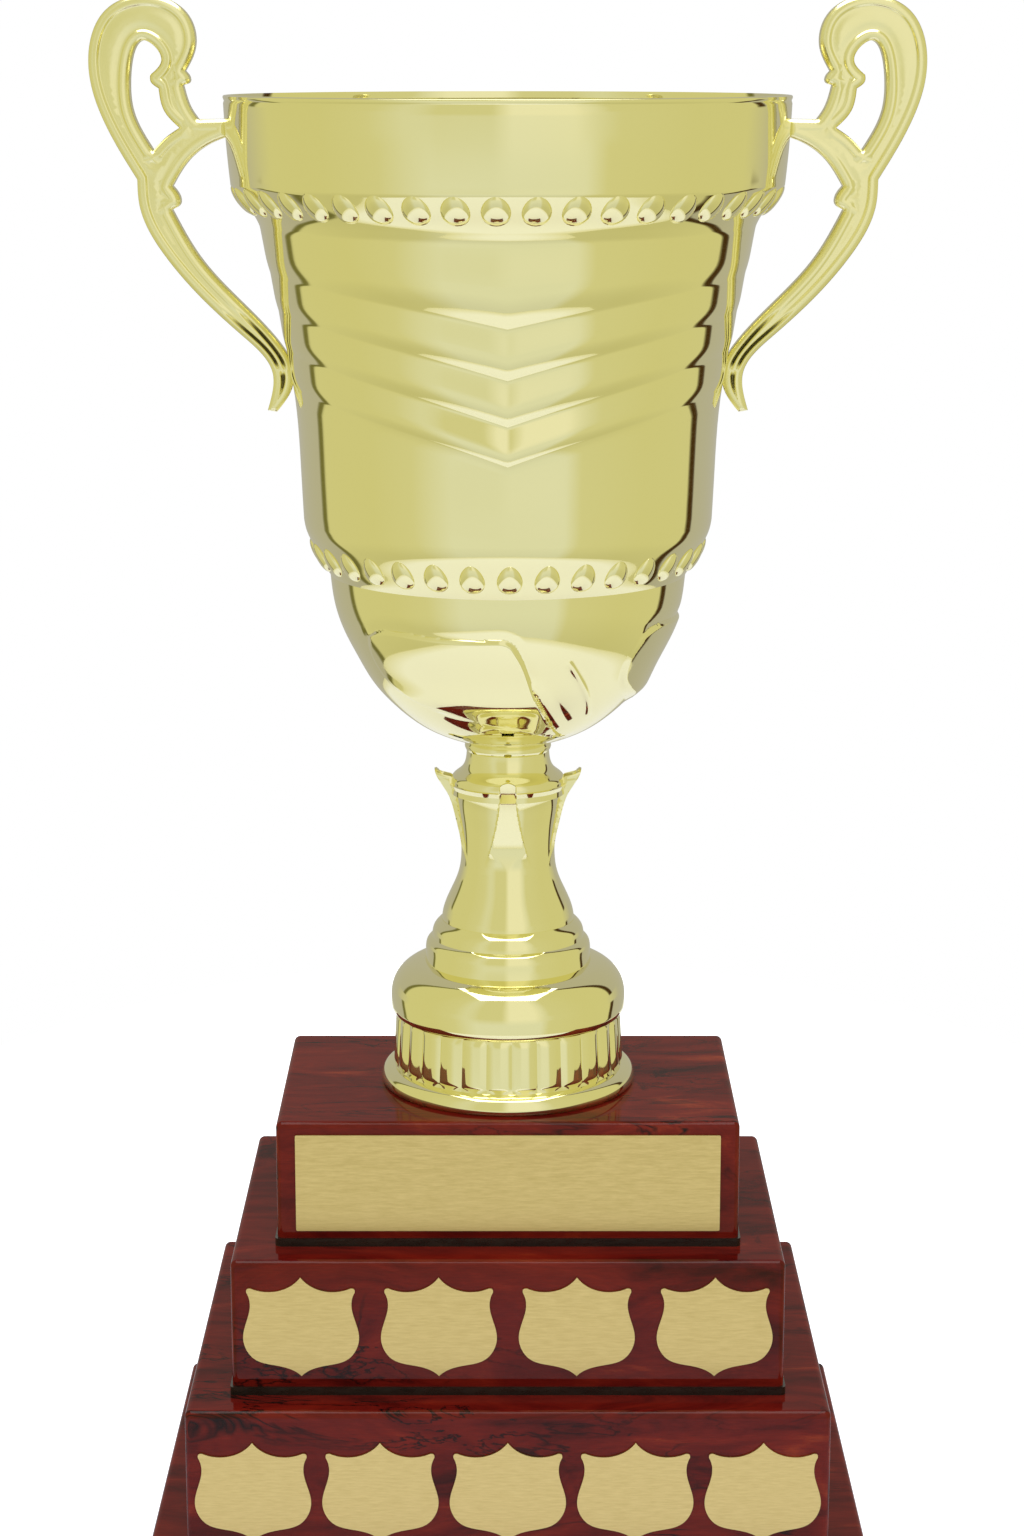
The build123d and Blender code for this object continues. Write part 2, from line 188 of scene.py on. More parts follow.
def grain_coordinates(tree, squeeze):
    """Object coordinates squeezed across a grain that runs level round a box: along X on its front, back and
    top, and along Y on its sides."""
    spot = add(tree, "TexCoord")
    facing = add(tree, "SeparateXYZ", {0: spot.outputs["Normal"]}).outputs["X"]
    on_side = math_of(tree, "GREATER_THAN", math_of(tree, "ABSOLUTE", facing), SIDE_FACING)
    scale = add(tree, "CombineXYZ", {"X": math_of(tree, "MULTIPLY_ADD", on_side, squeeze - 1.0, 1.0),
                                     "Y": math_of(tree, "MULTIPLY_ADD", on_side, 1.0 - squeeze, squeeze),
                                     "Z": squeeze})
    squeezed = {0: spot.outputs["Object"], 1: scale.outputs[0]}
    return add(tree, "VectorMath", squeezed, operation="MULTIPLY").outputs[0]


def noise(tree, vector, scale, detail=3.0, roughness=0.5, distortion=0.0):
    """Factor output of a noise texture."""
    return add(tree, "TexNoise", {"Vector": vector, "Scale": scale, "Detail": detail, "Roughness": roughness,
                                  "Distortion": distortion}).outputs["Fac"]


def new_material(name, **constants):
    """Material with a Principled shader, whose inputs are set to constants: material, tree and shader."""
    material = bpy.data.materials.new(name)
    material.use_nodes = True
    tree = material.node_tree
    shader = tree.nodes["Principled BSDF"]
    for key, value in constants.items():
        shader.inputs[key.replace("_", " ")].default_value = value
    return material, tree, shader


def bump(tree, shader, height, strength, distance):
    """Bump from a height output, with its distance in metres."""
    made = add(tree, "Bump", {"Height": height, "Strength": strength, "Distance": distance})
    tree.links.new(made.outputs["Normal"], shader.inputs["Normal"])


# ---- materials --------------------------------------------------------------
GOLD = (0.93, 0.895, 0.56)
GOLD_WARM = (0.93, 0.885, 0.51)
# Colour of the painted shade in the handles' tail grooves
GOLD_PAINTED_SHADE = (0.10, 0.08, 0.02)
RED_DARKEST = (0.040, 0.002, 0.002)
RED_DARK = (0.125, 0.006, 0.005)
RED = (0.190, 0.012, 0.007)
RED_LIGHT = (0.360, 0.050, 0.015)
VEIN = (0.008, 0.002, 0.003)
PORES = (0.62, 0.55, 0.55)


def polished_gold():
    """Mirror-bright plating with slight spinning waves, a few patches and fine wipe marks."""
    material, tree, shader = new_material("polished_gold", Metallic=1.0)
    place = object_coordinates(tree)
    patches = noise(tree, place, 9.0, 2.0)
    tint = ramp(tree, patches, [(0.35, GOLD), (0.75, GOLD_WARM)])
    tree.links.new(tint, shader.inputs["Base Color"])
    marks = noise(tree, object_coordinates(tree, (1, 1, 14)), 60.0, 4.0, 0.6)
    rough = span(tree, marks, 0.3, 0.8, 0.03, 0.075)
    tree.links.new(rough, shader.inputs["Roughness"])
    waves = noise(tree, object_coordinates(tree, (1, 1, 2.5)), 16.0, 1.0)
    bump(tree, shader, waves, 0.25, 0.0006)
    return material


def satin_gold():
    """Cast and plated metal: softer shine, a faint orange-peel surface, and painted shade in the tail's deep
    grooves.
    """
    material, tree, shader = new_material("satin_gold", Metallic=1.0)
    place = object_coordinates(tree)
    tint = ramp(tree, noise(tree, place, 30.0), [(0.3, GOLD), (0.8, GOLD_WARM)])
    # Painted shade: the base colour darkens towards near-black where the tail's grooves are deep
    groove_painted_shade = add(tree, "Attribute", attribute_name="groove_painted_shade").outputs["Fac"]
    tint = mixed(tree, span(tree, groove_painted_shade, 0.3, 0.95, 0, 0.85), tint, GOLD_PAINTED_SHADE)
    tree.links.new(tint, shader.inputs["Base Color"])
    rough = span(tree, noise(tree, place, 140.0, 4.0), 0.3, 0.7, 0.17, 0.24)
    tree.links.new(rough, shader.inputs["Roughness"])
    bump(tree, shader, noise(tree, place, 45.0, 2.0), 0.12, 0.0003)
    return material


def plate_gold():
    """Engraving plate: satin metal brushed along its length."""
    material, tree, shader = new_material("plate_gold", Metallic=1.0)
    strokes = noise(tree, object_coordinates(tree, (160, 300, 1400)), 1.0, 3.0, 0.65)
    tint = ramp(tree, strokes, [(0.3, (0.64, 0.50, 0.21)), (0.7, (0.77, 0.62, 0.29))])
    tree.links.new(tint, shader.inputs["Base Color"])
    tree.links.new(span(tree, strokes, 0.3, 0.7, 0.30, 0.42), shader.inputs["Roughness"])
    bump(tree, shader, strokes, 0.15, 0.00004)
    return material


def rosewood():
    """Dark red veneer with a soft figure and thin near-black veins, under high-gloss lacquer."""
    material, tree, shader = new_material("rosewood", Coat_Weight=0.42, Coat_Roughness=0.015, Coat_IOR=1.5,
                                          Specular_IOR_Level=0.0)
    place = grain_coordinates(tree, 3.0)
    warp = add(tree, "TexNoise", {"Vector": place, "Scale": 8.0, "Detail": 2.0}).outputs["Color"]
    bent = mixed(tree, 0.08, place, warp, "ADD")
    figure = noise(tree, bent, 14.0, 6.0, 0.62, 1.2)
    colour = ramp(tree, figure, [(0.30, RED_DARKEST), (0.45, RED_DARK), (0.60, RED), (0.76, RED_LIGHT)])
    line = math_of(tree, "ABSOLUTE", math_of(tree, "SUBTRACT", noise(tree, bent, 9.0, 5.0, 0.6, 1.8), 0.5))
    where = span(tree, noise(tree, place, 5.0, 2.0), 0.48, 0.62, 0, 1)
    vein = math_of(tree, "MULTIPLY", span(tree, line, 0.0, 0.022, 1, 0), where)
    colour = mixed(tree, vein, colour, VEIN)
    pores = ramp(tree, noise(tree, grain_coordinates(tree, 14.0), 160.0, 3.0, 0.6),
                 [(0.35, PORES), (0.60, (1, 1, 1))])
    colour = mixed(tree, 0.5, colour, pores, "MULTIPLY")
    tree.links.new(colour, shader.inputs["Base Color"])
    tree.links.new(span(tree, figure, 0.3, 0.7, 0.45, 0.3), shader.inputs["Roughness"])
    return material


def black_lacquer():
    """Black gloss paint over board."""
    material, tree, shader = new_material("black_lacquer", Coat_Weight=0.6, Coat_Roughness=0.06)
    place = object_coordinates(tree, (1, 4, 4))
    streaks = noise(tree, place, 60.0, 4.0)
    tint = ramp(tree, streaks, [(0.3, (0.004, 0.003, 0.003)), (0.75, (0.018, 0.012, 0.010))])
    tree.links.new(tint, shader.inputs["Base Color"])
    tree.links.new(span(tree, noise(tree, place, 200.0), 0.3, 0.7, 0.2, 0.4), shader.inputs["Roughness"])
    return material


def plain_wood():
    """Unfinished pine of the glued blocks."""
    material, tree, shader = new_material("plain_wood", Roughness=0.7)
    grain = noise(tree, object_coordinates(tree, (14, 14, 1)), 40.0, 5.0, 0.6, 0.6)
    tint = ramp(tree, grain, [(0.3, (0.36, 0.21, 0.10)), (0.7, (0.64, 0.44, 0.25))])
    tree.links.new(tint, shader.inputs["Base Color"])
    bump(tree, shader, grain, 0.3, 0.0002)
    return material


def steel():
    """Zinc-plated fasteners."""
    material, tree, shader = new_material("steel", Metallic=1.0)
    spots = noise(tree, object_coordinates(tree), 260.0, 4.0)
    tint = ramp(tree, spots, [(0.3, (0.50, 0.50, 0.51)), (0.7, (0.72, 0.72, 0.71))])
    tree.links.new(tint, shader.inputs["Base Color"])
    tree.links.new(span(tree, spots, 0.3, 0.7, 0.22, 0.4), shader.inputs["Roughness"])
    return material


def felt():
    """Dark green baize."""
    material, tree, shader = new_material("felt", Roughness=0.95, Sheen_Weight=0.4)
    fibres = noise(tree, object_coordinates(tree), 900.0, 5.0, 0.7)
    tint = ramp(tree, fibres, [(0.3, (0.008, 0.030, 0.015)), (0.7, (0.020, 0.075, 0.035))])
    tree.links.new(tint, shader.inputs["Base Color"])
    bump(tree, shader, fibres, 0.5, 0.0004)
    return material


MATERIALS = {make.__name__: make() for make in (
    polished_gold, satin_gold, plate_gold, rosewood, black_lacquer, plain_wood, steel, felt)}

# ---- cup --------------------------------------------------------------------
CUP_WALL = 1.2
CUP_FLOOR_RADIUS = 15.3
ROD_HOLE_RADIUS = 1.98
# Profiles as (radius, height), from the rim down
LIP = [(99.3, 0.0), (100.0, -0.05), (100.35, -0.3), (100.4, -0.8), (100.2, -1.4), (99.95, -1.8)]
LIP_INSIDE = (99.0, -1.5)
COLLAR = [(100.4, 0), (99.4, -18), (98.2, -31)]
COLLAR_HEIGHTS = (-30, -2.5)  # between the lip and the crisp edge
COLLAR_EDGE = [(98.23, -30.5), (98.2, -31)]
BEAD_LEDGE = [(98.2, -31), (97.2, -32.4), (93.3, -37.6), (89.7, -42.2), (88.3, -45)]
BARREL = [(88.3, -45), (83.5, -67.7), (79.7, -87), (76.3, -108), (74.6, -135), (73.9, -150)]
LOWER_LEDGE = [(73.9, -150), (73.2, -153.5), (71.5, -157.5), (68.4, -163.3), (65.4, -168.8), (64.6, -170)]
BOWL = [(64.6, -170), (63.3, -180), (60.2, -190), (55.2, -200), (49.7, -209.5), (43, -217.2), (30, -227.2),
        (CUP_FLOOR_RADIUS, -233)]

SHELL_COLUMNS = 440
BOWL_COLUMNS = 600
# Spacing of the bowl's rows at each height: close along the top of the panels and where they turn under
BOWL_SPACING = [(-170, 1.6), (-182.4, 1.6), (-182.6, 0.33), (-188.4, 0.33), (-188.6, 0.85), (-208, 0.85),
                (-208.2, 0.35), (-215, 0.35), (-215.2, 0.85), (-226, 0.85), (-227, 2), (-240, 2)]
# A bead is a dome of rings, sunk a little into the ledge and closed by a smaller root under it
BEAD_RINGS = 8
BEAD_SIDES = 24
BEAD_SINK = 0.3
BEAD_ROOT_SIZE = 0.9
BEAD_ROOT_DEPTH = 0.8
# Chevron ribs: height of each groove at the front's middle, and how far it climbs to the sides
GROOVES = [(-75.0, 14.1), (-92.5, 18.3), (-108.5, 20.6), (-123.0, 21.2)]
RIB_START = -45.0
RIB_UNDERSIDE = 0.57  # slope of the wall at a groove, against the vertical
RIB_TURN = (0.12, 0.55)  # shares of a rib's height: out of the groove above, and the start of the next turn
RIB_FADES = [(26, 58, 0.55), (58, 90, 0.2)]  # angles from the front between which a rib loses an amount
RIB_SHARES = (0, 0.03, 0.06, 0.09, 0.13, 0.25, 0.4, 0.55, 0.65, 0.74, 0.82, 0.89, 0.95)

# Swirl pressed into the bowl: where its three raised panels stand, and the outline of one as
# (azimuth, height)
PANEL_AZIMUTHS = (0, 104, 226)
PANEL_TOP = [[(-54, -187.5), (-50, -185.6), (-27, -184.6), (-3, -184.7)],
             [(-3, -184.7), (-0.5, -185.1), (1.8, -186.6)],
             [(1.8, -186.6), (4.5, -191.5), (9, -202.3), (15, -212.5), (25, -221.6), (36, -226)]]
PANEL_BOTTOM = [(-54, -187.5), (-57.5, -196.3), (-54.8, -205), (-45, -211), (-27.8, -216.8), (0, -221.6),
                (26.5, -225.2), (36, -226)]
# How far a panel stands out at each height: it runs straight on past the bowl's curve, then turns under
PANEL_STANDS = [(-180, 1.0), (-200, 1.0), (-203, 1.08), (-206, 1.35), (-209, 1.85), (-210.4, 2.1),
                (-211.4, 2.12), (-212.6, 1.88), (-214.5, 1.3), (-217, 0.5), (-219, 0.05), (-226, 0)]
PANEL_STEP = 1.5  # width of the step along the panel's top and right
PANEL_BEVEL = 2.6  # width of the slope along its left and bottom
HOLLOW_DEPTH = 0.4  # dip that runs outside the step
HOLLOW_WIDTH = 5.0
HOLLOW_FADE = 8  # distance from the panel's bottom over which the dip deepens
SHOULDER = 0.9  # slope that falls away from the step's lower end
SHOULDER_WIDTH = 7.0
SHOULDER_HEIGHTS = (-206, -198)  # between which the dip turns into the slope
SHOULDER_ACROSS = (-6, 4)  # between which the slope begins, sideways from the panel's middle
RIDGE = [(22, -194.7), (30, -204), (41.8, -217.2)]  # thin raised line between two panels
RIDGE_RAISE = 0.38
RIDGE_WIDTH = 1.2
SWIRL_FADE = 4  # height below the ledge over which the swirl begins


def folded(azimuth):
    """Angle from the nearer of the cup's front and back, 0 to 90."""
    return np.abs((np.asarray(azimuth) + 90) % 180 - 90)


def groove_height(groove, azimuth):
    """Height of a chevron groove at each azimuth."""
    middle, climb = groove
    return middle + climb * (1 - (1 - folded(azimuth) / 90)**2)


def barrel_radius(height):
    """Radius of the barrel's plain wall at a height."""
    line = smooth(BARREL, 200)
    return np.interp(height, line[::-1, 1], line[::-1, 0])


def barrel_rows(azimuth, rib_shares, plain_count):
    """Rows of (radius, height) down the barrel: each rib swells out and turns under at the next groove, with
    rows at the given shares of its height. plain_count rows follow below the last groove."""
    edges = [np.full_like(azimuth, RIB_START)] + [groove_height(groove, azimuth) for groove in GROOVES]
    fade = 1
    for start, end, amount in RIB_FADES:
        fade = fade - amount * smoothstep(start, end, folded(azimuth))
    fine = np.linspace(0, 1, 201)
    under = np.maximum(1 - smoothstep(0, RIB_TURN[0], fine), smoothstep(RIB_TURN[1], 1, fine))
    turned_under = np.concatenate([[0], np.cumsum(under[1:] + under[:-1]) / (2 * (len(fine) - 1))])
    mean = turned_under[-1]
    rows = []
    for top, bottom in zip(edges, edges[1:]):
        length = top - bottom
        slope = (barrel_radius(top) - barrel_radius(bottom)) / length
        swell = (RIB_UNDERSIDE - slope) * length * fade / (1 - mean)
        for share in rib_shares:
            height = top + (bottom - top) * share
            out = swell * (mean * share - np.interp(share, fine, turned_under))
            rows.append((barrel_radius(height) + out, height))
    end = BARREL[-1][1]
    for share in np.linspace(0, 1, plain_count, endpoint=False):
        height = edges[-1] + (end - edges[-1]) * share
        rows.append((barrel_radius(height), height))
    return rows


def plain_rows(line):
    """Rows of (radius, height) for the points of a turned line."""
    return [(radius, height) for radius, height in line]


def inward(line, amount):
    """A line that runs down the cup, moved by its normal towards the cup's inside."""
    along = np.gradient(line, axis=0)
    along /= np.linalg.norm(along, axis=1)[:, None]
    return line + amount * np.stack([along[:, 1], -along[:, 0]], axis=1)


BOWL_LINE = smooth(BOWL, 200)
BOWL_STEPS = np.linalg.norm(np.diff(BOWL_LINE[::-1], axis=0), axis=1)
BOWL_REACH = BOWL[-1][0] + np.concatenate([np.cumsum(BOWL_STEPS)[::-1], [0]])


def plan(azimuth, height):
    """Places on the bowl laid out flat, at their azimuth and their distance along the wall from the axis."""
    reach = np.interp(height, BOWL_LINE[::-1, 1], BOWL_REACH[::-1])
    turn = np.radians(azimuth)
    return np.stack(np.broadcast_arrays(reach * np.sin(turn), -reach * np.cos(turn)), axis=-1)


def path_offset(points, path):
    """Offset of points from the nearest place on an open path."""
    nearest = np.full(len(points), np.inf)
    offset = np.zeros_like(points)
    for start, end in zip(path, path[1:]):
        line = end - start
        if line @ line == 0:
            continue
        share = np.clip((points - start) @ line / (line @ line), 0, 1)
        away = points - start - share[:, None] * line
        distance = np.linalg.norm(away, axis=1)
        closer = distance < nearest
        nearest[closer] = distance[closer]
        offset[closer] = away[closer]
    return offset


def path_distance(points, path):
    """Distance of points from an open path."""
    return np.linalg.norm(path_offset(points, path), axis=1)


def inside(points, loop):
    """Which points are in a closed loop."""
    count = np.zeros(len(points), int)
    x, y = points[:, 0], points[:, 1]
    for (x0, y0), (x1, y1) in zip(loop, np.roll(loop, -1, axis=0)):
        crosses = (y0 > y) != (y1 > y)
        at = x0 + (y - y0) * (x1 - x0) / (y1 - y0 if y1 != y0 else 1)
        count += crosses & (x < at)
    return count % 2 == 1


def swirl(azimuth, height):
    """How far the bowl's pressed swirl stands out at each place."""
    raised = np.zeros(np.broadcast(azimuth, height).shape)
    top = plan(*np.vstack([smooth(stretch, 24) for stretch in PANEL_TOP]).T)
    bottom = plan(*smooth(PANEL_BOTTOM, 60).T)
    ridge = plan(*smooth(RIDGE, 12).T)
    loop = np.vstack([top, bottom[::-1]])
    at, out = smooth(PANEL_STANDS, 200)[::-1].T
    stands = np.broadcast_to(np.interp(height, at, out), raised.shape).ravel()
    low = 1 - smoothstep(*SHOULDER_HEIGHTS, np.broadcast_to(height, raised.shape).ravel())
    for turned in PANEL_AZIMUTHS:
        points = plan(azimuth - turned, height).reshape(-1, 2)
        from_top, from_bottom = path_distance(points, top), path_distance(points, bottom)
        step, bevel = smoothstep(0, PANEL_STEP, from_top), np.clip(from_bottom / PANEL_BEVEL, 0, 1)
        panel = stands * np.minimum(step, bevel)
        hollow = HOLLOW_DEPTH * (1 - smoothstep(0, HOLLOW_WIDTH, from_top))
        hollow = hollow * smoothstep(0, HOLLOW_FADE, from_bottom)
        shoulder = SHOULDER * low * (1 - smoothstep(0, SHOULDER_WIDTH, from_top))
        shoulder = shoulder * smoothstep(*SHOULDER_ACROSS, points[:, 0])
        around = shoulder - (1 - low) * hollow
        line = RIDGE_RAISE * np.exp(-(path_distance(points, ridge) / RIDGE_WIDTH)**2)
        raised += (np.where(inside(points, loop), panel, around) + line).reshape(raised.shape)
    return raised


def ring_piece(name, rows, azimuth, node, crease):
    """Closed ring of polished gold through rows of (radius, height), each a number or one per azimuth."""
    radius = np.array([np.broadcast_to(radius, azimuth.shape) for radius, _ in rows])
    height = np.array([np.broadcast_to(height, azimuth.shape) for _, height in rows])
    faces = ring_faces(len(rows), len(azimuth), closed=True)
    return make_object(name, ring_points(radius, azimuth, height), faces, node,
                       MATERIALS["polished_gold"], crease)


def cup_shell():
    """The cup from its rim to the lower ledge."""
    azimuth = even_azimuths(SHELL_COLUMNS)
    collar = smooth(COLLAR, 12)
    low, high = COLLAR_HEIGHTS
    collar = np.vstack([collar[(collar[:, 1] > low) & (collar[:, 1] < high)], COLLAR_EDGE])
    ledge = smooth(BEAD_LEDGE, 14)[1:-1]
    lower_ledge = smooth(LOWER_LEDGE, 20)
    outside = (plain_rows(LIP) + plain_rows(collar) + plain_rows(ledge) + barrel_rows(azimuth, RIB_SHARES, 10)
               + plain_rows(lower_ledge))
    inner_ledge = inward(lower_ledge[::3], CUP_WALL)[::-1]
    coarse_barrel = barrel_rows(azimuth, RIB_SHARES[::3], 4)
    inner_barrel = [(radius - CUP_WALL, height) for radius, height in coarse_barrel]
    inner_collar = inward(np.vstack([collar, ledge[1:-1:3]]), CUP_WALL)[::-1]
    rows = outside + plain_rows(inner_ledge) + inner_barrel[::-1] + plain_rows(inner_collar) + [LIP_INSIDE]
    return ring_piece("cup_shell", rows, azimuth, "cup_bowl", 40)


def swirled_bowl():
    """The cup's bottom with the swirl pressed into it."""
    azimuth = even_azimuths(BOWL_COLUMNS)
    fine = smooth(BOWL, 4000)
    spacing = np.interp(-fine[:, 1], *(np.array(BOWL_SPACING) * (-1, 1)).T)
    steps = np.linalg.norm(np.diff(fine, axis=0), axis=1) / spacing[1:]
    count = np.concatenate([[0], np.cumsum(steps)])
    at = np.interp(np.linspace(0, count[-1], math.ceil(count[-1])), count, np.arange(len(fine)))
    line = fine[np.round(at).astype(int)]
    begun = smoothstep(0, SWIRL_FADE, BOWL[0][1] - line[:, 1])
    pressed = swirl(azimuth[None, :], line[:, 1][:, None]) * begun[:, None]
    rows = [(radius + out, height) for (radius, height), out in zip(line, pressed)]
    rows += [(ROD_HOLE_RADIUS, BOWL[-1][1]), (ROD_HOLE_RADIUS, BOWL[-1][1] + CUP_WALL)]
    rows += plain_rows(inward(smooth(BOWL, 24), 2 * CUP_WALL)[::-1])
    return ring_piece("cup_swirled_bowl", rows, azimuth, "cup_bowl", 40)


def bead_row(name, ledge, count, first, middle, half_length, half_width, raise_by, taper):
    """Ring of pressed beads on a ledge, the first at a given azimuth. middle and half_length are shares of
    the ledge's own length, and taper narrows a bead's top."""
    rings, sides = BEAD_RINGS, BEAD_SIDES
    line = smooth(ledge, 200)
    along = np.gradient(line, axis=0)
    along /= np.linalg.norm(along, axis=1)[:, None]
    share = np.linspace(0, 1, len(line))
    turn = np.linspace(0, 2 * math.pi, sides, endpoint=False)
    slope = np.linspace(0, math.pi / 2, rings)
    out = np.sin(slope)[:, None]
    down = out * np.cos(turn)
    across = half_width * out * np.sin(turn) * (1 + taper * down)
    rise = np.broadcast_to(raise_by * np.cos(slope)[:, None] - BEAD_SINK, down.shape)
    down = np.vstack([down, BEAD_ROOT_SIZE * down[-1:]])
    across = np.vstack([across, BEAD_ROOT_SIZE * across[-1:]])
    rise = np.vstack([rise, np.full((1, sides), -BEAD_ROOT_DEPTH)])
    at = middle + half_length * down
    radius = np.interp(at, share, line[:, 0])
    height = np.interp(at, share, line[:, 1])
    normal_out = -np.interp(at, share, along[:, 1])
    normal_up = np.interp(at, share, along[:, 0])
    radius_out = radius + rise * normal_out
    points, faces = [], []
    for number in range(count):
        azimuth = first + 360 / count * number + np.degrees(across / radius)
        base = len(points)
        # The first ring has no size, so only its last point is kept, as the bead's top
        points.extend(ring_points(radius_out, azimuth, height + rise * normal_up)[sides - 1:])
        rim = np.arange(rings * sides).reshape(rings, sides) - (sides - 1) + base
        for side in range(sides):
            after = (side + 1) % sides
            faces.append((base, rim[1, side], rim[1, after]))
            for ring in range(1, rings - 1):
                faces.append((rim[ring, side], rim[ring + 1, side], rim[ring + 1, after], rim[ring, after]))
            faces.append((rim[-1, side], rim[-1, side] + sides, rim[-1, after] + sides, rim[-1, after]))
        faces.append([rim[-1, side] + sides for side in reversed(range(sides))])
    return make_object(name, points, faces, "cup_bowl", MATERIALS["polished_gold"], 60)


cup_shell()
swirled_bowl()
bead_row("cup_upper_beads", BEAD_LEDGE[:4], count=44, first=-2.3, middle=0.47, half_length=0.45,
         half_width=5.1, raise_by=2.1, taper=0.08)
bead_row("cup_lower_beads", LOWER_LEDGE, count=33, first=0.6, middle=0.61, half_length=0.27,
         half_width=4.5, raise_by=2.1, taper=0.2)


# ---- handles ----------------------------------------------------------------
# Outline of the right handle as (x, height), from the cup along the top of the arm, round the scroll, down
# to the tail and back along the side that faces the cup
HANDLE_ROOT = 99.2
ARM_TOP = [(HANDLE_ROOT, -8.4), (109.3, -8.6)]
SCROLL_STALK = [(109.3, -8.6), (111.7, -5.1), (114.5, 3.4)]
SCROLL_KNOB = [(114.5, 3.4), (112.1, 4.5), (112.1, 6.0), (113.7, 8.2)]
SCROLL = [(113.7, 8.2), (110.0, 16.5), (112.4, 27.5), (126, 34.2), (141.2, 28.8), (147.4, 12), (142.8, -8.4),
          (131.2, -29.4)]
LOWER_ARM = [(131.2, -29.4), (130.7, -38), (121.4, -56.9), (95, -84.4), (84.4, -97.5), (86.3, -111)]
TAIL_TIP = [(86.3, -111), (83, -111.6)]
LOWER_ARM_INSIDE = [(83, -111.6), (77.9, -104), (77.4, -96), (83, -85.9), (109.9, -56.6), (119.4, -40)]
ARM_KNOB = [(119.4, -40), (116.4, -38), (116.4, -35.8), (119, -31.8)]
ARM_UNDERSIDE = [(119, -31.8), (112.8, -22.6), (103.6, -16.2), (HANDLE_ROOT, -14.6)]
ARM_END = [ARM_UNDERSIDE[-1], ARM_TOP[0]]
EYE = [[(125.4, -19.5), (131.1, -9.5), (133.3, 4.5), (127.4, 18.7), (121.7, 12.2), (125.7, 6.9)],
       [(125.7, 6.9), (125.8, 5.0), (122.9, 2.2)],
       [(122.9, 2.2), (121.3, -5.2), (115.9, -11.4)],
       [(115.9, -11.4), (120.6, -14.6), (125.4, -19.5)]]
HANDLE_HALF = 5.0
HANDLE_ROUND = 2.4
HANDLE_TURN = 0.8  # how far the round edge turns towards the side wall; 1 would meet it without a crease
OUTLINE_SPACING = 0.7
# Mesh rings at these distances from the outline, then a grid of staggered points, at least a gap away
RELIEF_RINGS = (0.08, 0.31, 0.67, 1.15, 1.7, 2.0, 2.3, 2.6, 2.9, 3.15, 3.4, 3.65, 3.9, 4.4)
FILL_SPACING = (1.1, 0.95)
FILL_GAP = 0.5
SAME_POINT = 0.05  # points of one square this wide are one
ON_RIM = 0.02
# Relief of the handles' faces. A pair is where a change starts and ends: as a distance from the outline in
# _AT and _DISTANCES, as x in ARM_ACROSS, and as a height elsewhere
RELIEF_SINK, RELIEF_SINK_AT = 0.7, (2.8, 3.9)
RELIEF_CROWN, RELIEF_CROWN_AT = 0.25, (4, 7)
ARM_FAINTER, ARM_ACROSS, ARM_LOW, ARM_HIGH = 0.85, (112, 126), (-50, -32), (-4, 6)
LOWER_FAINTER, LOWER_HIGH = 0.4, (-50, -25)
TAIL_HIGH = (-80, -70)
GROOVE_DEPTH = 2.2
PAIR_DISTANCE, PAIR_WIDTH, PAIR_HIGH, PAIR_LOW = 2.4, 0.45, (-84, -74), (-97, -93.5)
SINGLE_DISTANCES, SINGLE_HIGH, SINGLE_LOW = (2.5, 3.5), (-99, -96.5), (-110.5, -108)


def tail_groove(points, depth):
    """How far each point is into the tail's grooves: two side by side, then one along the tip's middle."""
    y = points[:, 1]
    pair = np.exp(-((depth - PAIR_DISTANCE) / PAIR_WIDTH)**2)
    pair = pair * (1 - smoothstep(*PAIR_HIGH, y)) * smoothstep(*PAIR_LOW, y)
    single = smoothstep(*SINGLE_DISTANCES, depth)
    single = single * (1 - smoothstep(*SINGLE_HIGH, y)) * smoothstep(*SINGLE_LOW, y)
    return np.maximum(pair, single)


def handle_relief(points, depth):
    """Half thickness at each point, from its distance to the outline: a round edge, a rim and a sunk panel,
    which is fainter on the arm and the lower arm and ends above the grooves of the tail."""
    x, y = points.T
    tail = 1 - smoothstep(*TAIL_HIGH, y)
    arm = (1 - smoothstep(*ARM_ACROSS, x)) * smoothstep(*ARM_LOW, y) * (1 - smoothstep(*ARM_HIGH, y))
    below = 1 - smoothstep(*LOWER_HIGH, y)
    edge = np.clip(depth / HANDLE_ROUND, 0, 1)
    edge_drop = HANDLE_ROUND * (1 - np.sqrt(1 - HANDLE_TURN * (1 - edge)**2))
    sunk = RELIEF_SINK * smoothstep(*RELIEF_SINK_AT, depth)
    panel = sunk - RELIEF_CROWN * smoothstep(*RELIEF_CROWN_AT, depth)
    panel = panel * (1 - ARM_FAINTER * arm) * (1 - LOWER_FAINTER * below)
    return HANDLE_HALF - edge_drop - (1 - tail) * panel - GROOVE_DEPTH * tail_groove(points, depth)


